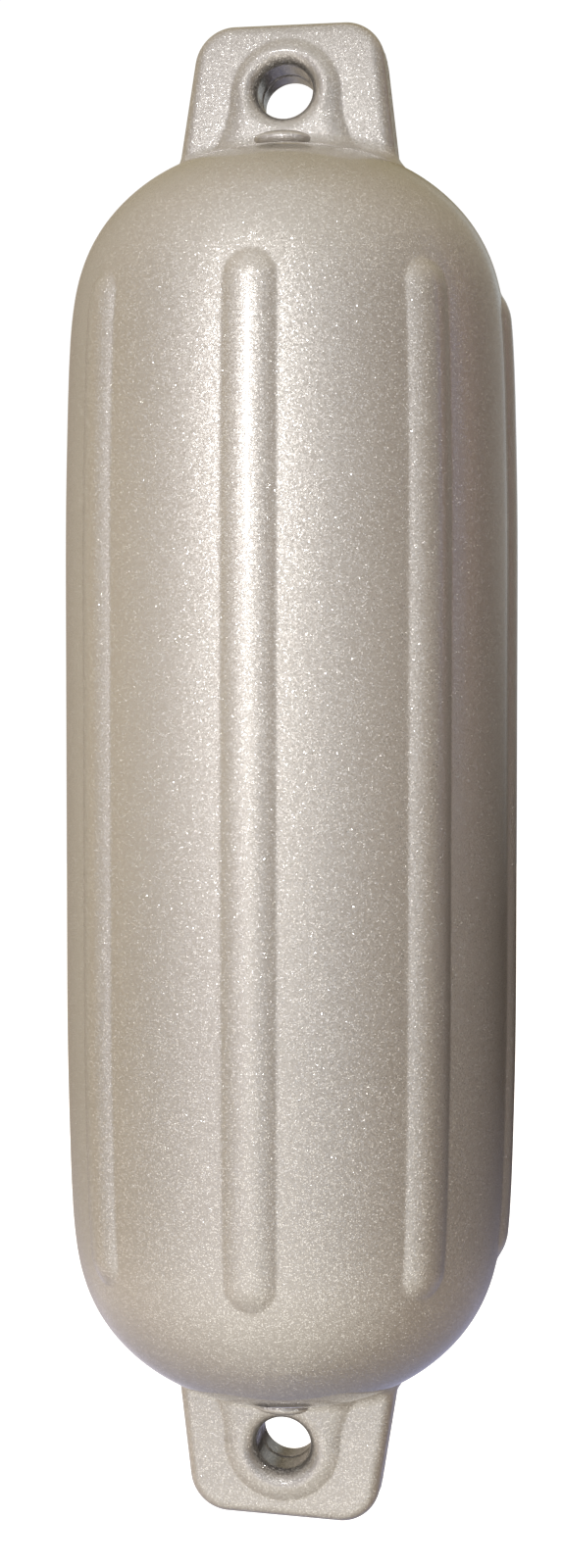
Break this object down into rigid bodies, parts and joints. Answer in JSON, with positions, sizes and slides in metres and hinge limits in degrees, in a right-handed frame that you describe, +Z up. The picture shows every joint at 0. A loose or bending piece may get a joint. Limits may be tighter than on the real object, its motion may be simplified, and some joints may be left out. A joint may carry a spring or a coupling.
{
  "type": "boat fender",
  "caption": "Ribbed cylindrical inflatable boat fender with domed ends and a flat rope eye at each end, to hang between a hull and a dock.",
  "frame": {"origin": "middle of the fender, on its long axis", "axes": "+Z up along the long axis as the fender hangs, towards the eye beside the valve; +Y through the eyes' rope holes, towards the valve's side; +X along the width of the eyes"},
  "size_m": [0.17, 0.17, 0.554],
  "materials": {
    "vinyl": "glossy champagne vinyl with fine metallic flake",
    "valve_plastic": "satin moulded plastic",
    "seal_rubber": "matte",
    "screw_plastic": "satin moulded plastic"
  },
  "bodies": {
    "root": {"fender_body": "vinyl", "valve_body": "valve_plastic", "valve_seal": "seal_rubber", "valve_screw": "screw_plastic"}
  },
  "joints": []
}
